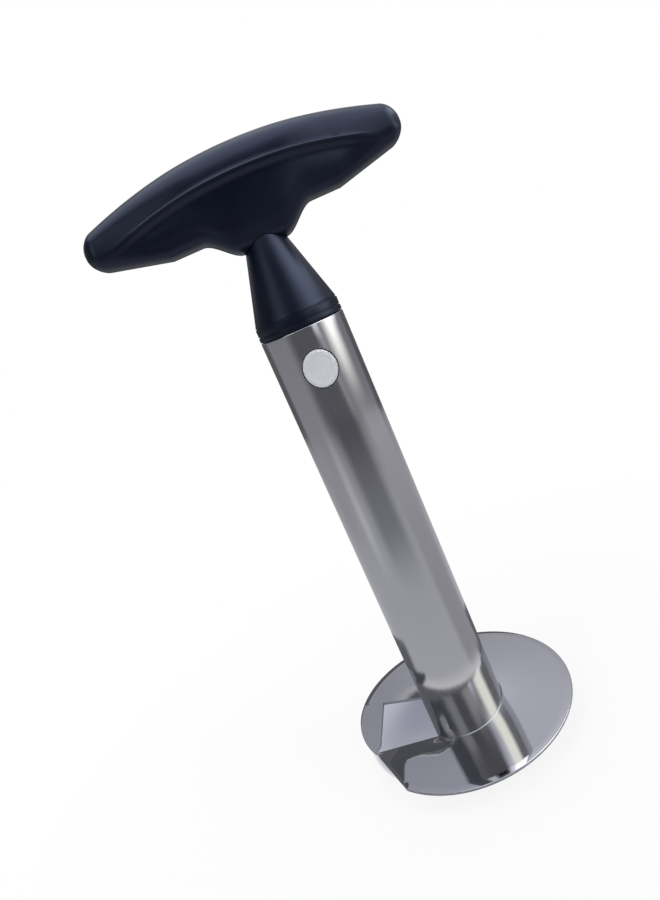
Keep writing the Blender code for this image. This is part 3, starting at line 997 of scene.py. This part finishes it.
def boss_limit(across, level):
    """How far out the outer face lies, at the least, over a boss."""
    least = grip_side(across, level, 0.0)
    for step in range(boss_steps):
        turn = math.tau * step / boss_steps
        x = across + rear_boss_radius * math.cos(turn)
        least = min(least, grip_side(x, level + rear_boss_radius * math.sin(turn), 0.0))
    return least


def grip_slab(name, near, far):
    return box_tool(name, (-cut_reach, near, tube_length), (cut_reach, far, tube_length + cut_top))


def make_lip():
    """The thin rim of the front half that closes the slit between the halves."""
    lip = whole_grip("lip", lip_inset, lip_detail)
    cut(lip, whole_grip("lip_inner", lip_inner_inset, lip_inner_detail))
    combine(lip, "INTERSECT", grip_slab("lip_slice", -lip_root, lip_reach))
    return lip


def make_grip_half(name, node_name, side):
    """One half of the grip, on the front for a side of -1 and at the rear for 1."""
    half = whole_grip(name, 0.0, grip_detail)
    cut(half, whole_grip("hollow", grip_wall, hollow_detail))
    boss_radius = front_boss_radius if side < 0.0 else rear_boss_radius
    hole_depth = front_hole_depth if side < 0.0 else rear_hole_depth
    bosses = []
    holes = []
    pockets = []
    for _, across, level in screws:
        height = tube_length + level
        meets = tongue_half_thickness + fit_gap / 2.0 if across == 0.0 else 0.0
        start = side * (meets + fit_gap / 2.0)
        wall = side * (boss_limit(across, level) - boss_sink)
        bosses.append((boss_radius, start, wall, across, height))
        holes.append((hole_radius, -side * cut_overrun, side * hole_depth, across, height))
        pockets.append((head_radius + fit_gap, screw_seat, pocket_depth, across, height))
    combine(half, "UNION", rods("bosses", bosses))
    near, far = sorted((side * fit_gap / 2.0, -side * cut_reach))
    cut(half, grip_slab("parting", near, far))
    if side < 0.0:
        combine(half, "UNION", make_lip())
    mouth = [(radius + fit_gap, height) for radius, height in cone_points()]
    mouth.append((tenon_radius + fit_gap, tube_length + cone_top + fit_gap))
    mouth.append((tenon_radius + fit_gap, tube_length + tenon_top + fit_gap))
    cut(half, lofted("mouth", turned_rings(mouth, mouth_steps)))
    cut(half, rods("holes", holes))
    if side > 0.0:
        cut(half, rods("pockets", pockets, pocket_steps))
    shade(half, grip_sharp_angle)
    finish_piece(half, node_name, black_plastic)


# Screws
screw_tip_share = 0.4
screw_end = -0.0050
screw_tip_start = -0.0038
head_edge = 0.0008
head_dome = 0.0010
head_flat_share = 0.35
head_steps = 6
drive_reach = 0.0017
drive_half_width = 0.0004
drive_start = 0.0005
screw_sharp_angle = 40.0


def make_screw(node_name, across, level):
    height = tube_length + level
    seat = screw_seat + fit_gap
    profile = [
        (screw_radius * screw_tip_share, screw_end),
        (screw_radius, screw_tip_start),
        (screw_radius, seat),
        (head_radius, seat),
        (head_radius, seat + head_edge),
    ]
    for step in range(1, head_steps):
        turn = math.pi / 2.0 * step / head_steps
        width = head_radius * (head_flat_share + (1.0 - head_flat_share) * math.cos(turn))
        profile.append((width, seat + head_edge + head_dome * math.sin(turn)))
    rings = [disc_ring(radius, depth, across, height) for radius, depth in profile]
    screw = lofted(node_name + "_steel", rings, screw_sharp_angle)
    for wide, tall in ((drive_reach, drive_half_width), (drive_half_width, drive_reach)):
        low = (across - wide, seat + drive_start, height - tall)
        high = (across + wide, seat + cut_overrun, height + tall)
        cut(screw, box_tool("recess", low, high))
    shade(screw, screw_sharp_angle)
    finish_piece(screw, node_name, screw_steel)


make_tube()
make_blade()
make_seam()
make_neck()
make_cap()
make_button()
make_grip_half("slicer_grip_front", "grip_front", -1.0)
make_grip_half("slicer_grip_rear", "grip_rear", 1.0)
for screw_name, screw_across, screw_level in screws:
    make_screw(screw_name, screw_across, screw_level)
make_spring()

# Studio
card_steps = 24
least_fade = 0.0001
ceiling_height = 1.09
all_round = (-180.0, 180.0)
full_rise = (0.0, 1.0)
room_grey = (0.95, 0.95, 1.05)
wall_grey = (0.97, 0.97, 1.04)
table_grey = (0.97, 0.97, 1.03)
cool_light = (0.95, 0.97, 1.05)
cool_shade = (0.95, 0.97, 1.08)
back_shade = (0.94, 0.95, 1.08)


def fade(tree, value, soft):
    """Rises smoothly from 0 to 1 over the first soft share of the value."""
    return spread(tree, value, (0.0, max(soft, least_fade)), (0.0, 1.0), interpolation_type="SMOOTHSTEP")


def card_material(name, glow, colour, soft):
    """A glow that goes from its first strength at the foot to its second at the top, with faded edges."""
    side_soft, foot_soft, top_soft = soft
    material = bpy.data.materials.new(name)
    material.use_nodes = True
    tree = material.node_tree
    tree.nodes.clear()
    place = node(tree, "ShaderNodeTexCoord").outputs["UV"]
    parts = node(tree, "ShaderNodeSeparateXYZ", {0: place}).outputs
    from_right = math_node(tree, "SUBTRACT", 1.0, parts[0])
    from_top = math_node(tree, "SUBTRACT", 1.0, parts[1])
    mask = product(tree, fade(tree, parts[0], side_soft), fade(tree, from_right, side_soft))
    mask = product(tree, mask, fade(tree, parts[1], foot_soft))
    mask = product(tree, mask, fade(tree, from_top, top_soft))
    level = spread(tree, parts[1], (0.0, 1.0), glow)
    light = node(tree, "ShaderNodeEmission", {"Color": (*colour, 1.0), "Strength": level}).outputs[0]
    clear = node(tree, "ShaderNodeBsdfTransparent").outputs[0]
    blend = node(tree, "ShaderNodeMixShader", {0: mask, 1: clear, 2: light}).outputs[0]
    node(tree, "ShaderNodeOutputMaterial", {"Surface": blend})
    return material


def card(name, turn, radius, rise, glow, colour, soft):
    """A curved card round the object, seen in reflections only.

    turn holds its two ends in degrees from the front towards +X, rise its foot and top, glow its
    strength at the foot and the top, and soft the shares of it that fade at the sides, foot and top.
    """
    builder = bmesh.new()
    layer = builder.loops.layers.uv.new("UVMap")
    columns = []
    for step in range(card_steps + 1):
        angle = math.radians(turn[0] + (turn[1] - turn[0]) * step / card_steps)
        place = (radius * math.sin(angle), -radius * math.cos(angle))
        columns.append([builder.verts.new((*place, height)) for height in rise])
    for step in range(card_steps):
        here = columns[step]
        after = columns[step + 1]
        face = builder.faces.new((here[0], after[0], after[1], here[1]))
        spots = ((step, 0), (step + 1, 0), (step + 1, 1), (step, 1))
        for corner, (across, up) in zip(face.loops, spots):
            corner[layer].uv = (across / card_steps, up)
    mesh = bpy.data.meshes.new(name)
    builder.to_mesh(mesh)
    builder.free()
    item = bpy.data.objects.new(name, mesh)
    bpy.context.collection.objects.link(item)
    mesh.materials.append(card_material(name, glow, colour, soft))
    item.visible_camera = False
    item.visible_diffuse = False
    item.visible_shadow = False
    item.visible_transmission = False
    item.visible_volume_scatter = False
    return item


def floor_card(name, turn, reach, height, glow, colour, soft):
    """A glowing card lying round the object just over the floor, from its near to its far reach, seen in
    reflections in place of the lit floor.
    """
    near, far = reach
    item = card(name, turn, 1.0, full_rise, glow, colour, (*soft, 0.02))
    for vertex in item.data.vertices:
        distance = near + (far - near) * vertex.co.z
        vertex.co = (vertex.co.x * distance, vertex.co.y * distance, height)


def ceiling_card(name, radius, height, glow, colour):
    """A flat disc overhead."""
    item = card(name, all_round, radius, full_rise, glow, colour, (0.0, 0.0, 0.0))
    for vertex in item.data.vertices:
        share = 1.0 - vertex.co.z
        vertex.co = (vertex.co.x * share, vertex.co.y * share, height)


# The dark side of the room behind the camera, its paler sides, the lamps, windows and shades
card("room_front", (-60.0, 50.0), 0.62, (0.0, 1.1), (0.14, 0.22), room_grey, (0.25, 0.01, 0.02))
card("room_left", (-150.0, -20.0), 0.66, (0.0, 1.1), (0.38, 0.10), wall_grey, (0.12, 0.01, 0.02))
card("room_right", (30.0, 150.0), 0.66, (0.0, 1.1), (0.30, 0.30), wall_grey, (0.12, 0.01, 0.02))
card("high_right", (14.0, 60.0), 0.59, (0.46, 1.0), (1.5, 1.5), (0.93, 0.95, 1.06), (0.4, 0.25, 0.1))
card("window_left", (-64.0, -26.0), 0.56, (0.24, 0.46), (0.46, 0.46), (0.97, 0.97, 1.02), (0.35, 0.2, 0.2))
card("window_front", (-12.0, 42.0), 0.56, (0.24, 0.46), (0.62, 0.62), (0.99, 0.98, 0.97), (0.4, 0.2, 0.2))
card("lamp_low", (38.0, 100.0), 0.50, (0.04, 0.24), (2.25, 2.25), (1.0, 1.0, 0.93), (0.5, 0.62, 0.3))
card("face_shade", (-22.0, 19.0), 0.20, (0.212, 0.32), (0.01, 0.01), (0.9, 0.95, 1.1), (0.2, 0.02, 0.4))
card("wing_right", (23.0, 43.0), 0.202, (0.212, 0.38), (1.7, 1.7), cool_light, (0.3, 0.05, 0.2))
card("wing_right_low", (20.0, 38.0), 0.365, (0.140, 0.250), (1.4, 1.4), cool_light, (0.3, 0.12, 0.08))
card("wing_left", (-60.0, -22.0), 0.202, (0.212, 0.38), (1.1, 1.1), (0.95, 1.02, 1.0), (0.3, 0.05, 0.2))
card("left_shade", (-135.0, -60.0), 0.35, (0.150, 0.62), (0.14, 0.14), (0.92, 0.96, 1.1), (0.15, 0.1, 0.2))
card("neck_light", (34.0, 118.0), 0.25, (0.270, 0.50), (3.5, 3.5), cool_light, (0.22, 0.12, 0.3))
card("ring_light", (56.0, 104.0), 0.355, (0.150, 0.188), (3.2, 3.2), cool_light, (0.3, 0.2, 0.2))
card("lamp_high", (34.0, 86.0), 0.50, (0.18, 0.9), (2.0, 2.0), (1.0, 1.0, 0.86), (0.35, 0.12, 0.1))
card("room_back_low", (115.0, 245.0), 0.64, (0.0, 0.34), (0.14, 0.14), room_grey, (0.12, 0.02, 0.1))
card("room_back_high", (110.0, 250.0), 0.60, (0.288, 1.1), (0.41, 0.9), room_grey, (0.03, 0.04, 0.02))
card("back_left_shade", (179.0, 250.0), 0.58, (0.288, 1.1), (0.38, 0.58), back_shade, (0.12, 0.035, 0.05))
ceiling_card("ceiling", 0.68, ceiling_height, (1.8, 1.8), (0.90, 0.94, 1.08))
# The table in reflections, its light and shade painted as glowing cards of set strengths
floor_card("table", all_round, (0.055, 0.75), 0.0004, (0.62, 0.32), table_grey, (0.0, 0.02))
floor_card("table_front", (-44.0, 48.0), (0.14, 0.75), 0.0008, (0.36, 0.04), room_grey, (0.3, 0.2))
floor_card("table_right", (46.0, 128.0), (0.055, 0.75), 0.0020, (0.43, 0.58), table_grey, (0.2, 0.02))
floor_card("table_left", (-132.0, -70.0), (0.20, 0.60), 0.0024, (0.46, 0.46), table_grey, (0.4, 0.3))
floor_card("table_left_light", (-72.0, -44.0), (0.15, 0.62), 0.0028, (0.78, 0.50), table_grey, (0.4, 0.3))
# Painted shadow under and behind the blade, seen in reflections: dark glowing cards on the floor
floor_card("painted_shadow_under_blade", all_round, (0.001, 0.056), 0.0012, (0.16, 0.16), cool_shade, (0.0, 0.02))
floor_card("painted_shadow_behind_blade", (90.0, 270.0), (0.050, 0.095), 0.0016, (0.16, 0.16), cool_shade, (0.1, 0.02))

# Lamps
panel_target = Vector((0.0, 0.0, 0.10))


def light_panel(name, place, size, power):
    data = bpy.data.lights.new(name, "AREA")
    data.shape = "RECTANGLE"
    data.size = size
    data.size_y = size
    data.energy = power
    item = bpy.data.objects.new(name, data)
    bpy.context.collection.objects.link(item)
    item.location = place
    item.rotation_euler = (panel_target - Vector(place)).to_track_quat("-Z", "Y").to_euler()
    item.visible_glossy = False


light_panel("panel_left", (-0.70, -0.55, 0.75), 0.6, 3.0)
light_panel("panel_right", (0.65, -0.35, 0.60), 0.35, 2.2)
light_panel("panel_top", (0.0, 0.25, 0.95), 0.9, 3.0)

# Floor and world, white to the camera and in mirror and glass rays, softer as a light
floor_size = 6.0
paper_mottle_scale = 160.0
# Painted shadow under the blade: its centre, and the distances over which it fades out
painted_blade_shadow_centre = (0.0, 0.012, 0.0)
painted_blade_shadow_edge = (0.0405, 0.0430)
white_reach = (0.05, 0.22)


def background_rays(tree):
    path = node(tree, "ShaderNodeLightPath").outputs
    shown = total(tree, path["Is Camera Ray"], path["Is Glossy Ray"])
    return total(tree, shown, path["Is Transmission Ray"], clamp=True)


def make_floor():
    """Pale paper that turns white away from the object, with the object's own soft shadow kept, and a painted
    bluish shadow that glows under the blade.
    """
    builder = bmesh.new()
    bmesh.ops.create_grid(builder, x_segments=1, y_segments=1, size=floor_size)
    floor = add_object("floor", builder)
    material, tree, shader = new_material("floor_paper")
    place = node(tree, "ShaderNodeTexCoord").outputs["Object"]
    mottle = noise(tree, place, paper_mottle_scale, 3.0)
    paper = mix_colours(tree, mottle, (0.78, 0.78, 0.79), (0.82, 0.82, 0.83))
    tree.links.new(paper, shader.inputs["Base Color"])
    shader.inputs["Roughness"].default_value = 0.9
    shader.inputs["Specular IOR Level"].default_value = 0.1
    length = node(tree, "ShaderNodeVectorMath", {0: place}, operation="LENGTH").outputs["Value"]
    white_share = spread(tree, length, white_reach, (0.88, 1.0))
    centre = {0: place, 1: painted_blade_shadow_centre}
    offset = node(tree, "ShaderNodeVectorMath", centre, operation="DISTANCE").outputs["Value"]
    # Painted shadow: near the centre under the blade, the floor glows a dark bluish grey in camera, mirror
    # and glass rays instead of white
    outside_painted_shadow = spread(tree, offset, painted_blade_shadow_edge, (0.0, 1.0))
    painted_shadow_glow_share = total(tree, product(tree, outside_painted_shadow, 0.4), 0.6)
    white_share = product(tree, white_share, painted_shadow_glow_share)
    glow_with_painted_shadow = mix_colours(tree, outside_painted_shadow, (0.33, 0.345, 0.46), (1.0, 1.0, 1.0))
    white_and_painted_shadow = node(tree, "ShaderNodeEmission", {"Color": glow_with_painted_shadow, "Strength": 1.0}).outputs[0]
    factor = product(tree, background_rays(tree), white_share)
    mixed = node(tree, "ShaderNodeMixShader", {0: factor, 1: shader.outputs[0], 2: white_and_painted_shadow}).outputs[0]
    tree.links.new(mixed, tree.nodes["Material Output"].inputs["Surface"])
    floor.data.materials.append(material)


def make_world():
    world = bpy.data.worlds.new("studio")
    scene.world = world
    world.use_nodes = True
    tree = world.node_tree
    tree.nodes.clear()
    seen = node(tree, "ShaderNodeBackground", {0: (1.0, 1.0, 1.0, 1.0)}).outputs[0]
    lit = node(tree, "ShaderNodeBackground", {0: (0.50, 0.50, 0.52, 1.0)}).outputs[0]
    mixed = node(tree, "ShaderNodeMixShader", {0: background_rays(tree), 1: lit, 2: seen}).outputs[0]
    node(tree, "ShaderNodeOutputWorld", {"Surface": mixed})


# Camera, at the photograph's place
camera_place = (-0.00429, -0.23236, tube_length + 0.01019)
camera_turn = (75.839, 23.283, -4.732)


def make_camera():
    data = bpy.data.cameras.new("camera")
    data.lens = 26.893
    data.sensor_width = 36.0
    data.clip_start = 0.01
    camera = bpy.data.objects.new("camera", data)
    bpy.context.collection.objects.link(camera)
    camera.location = camera_place
    camera.rotation_euler = [math.radians(angle) for angle in camera_turn]
    scene.camera = camera


make_floor()
make_world()
make_camera()
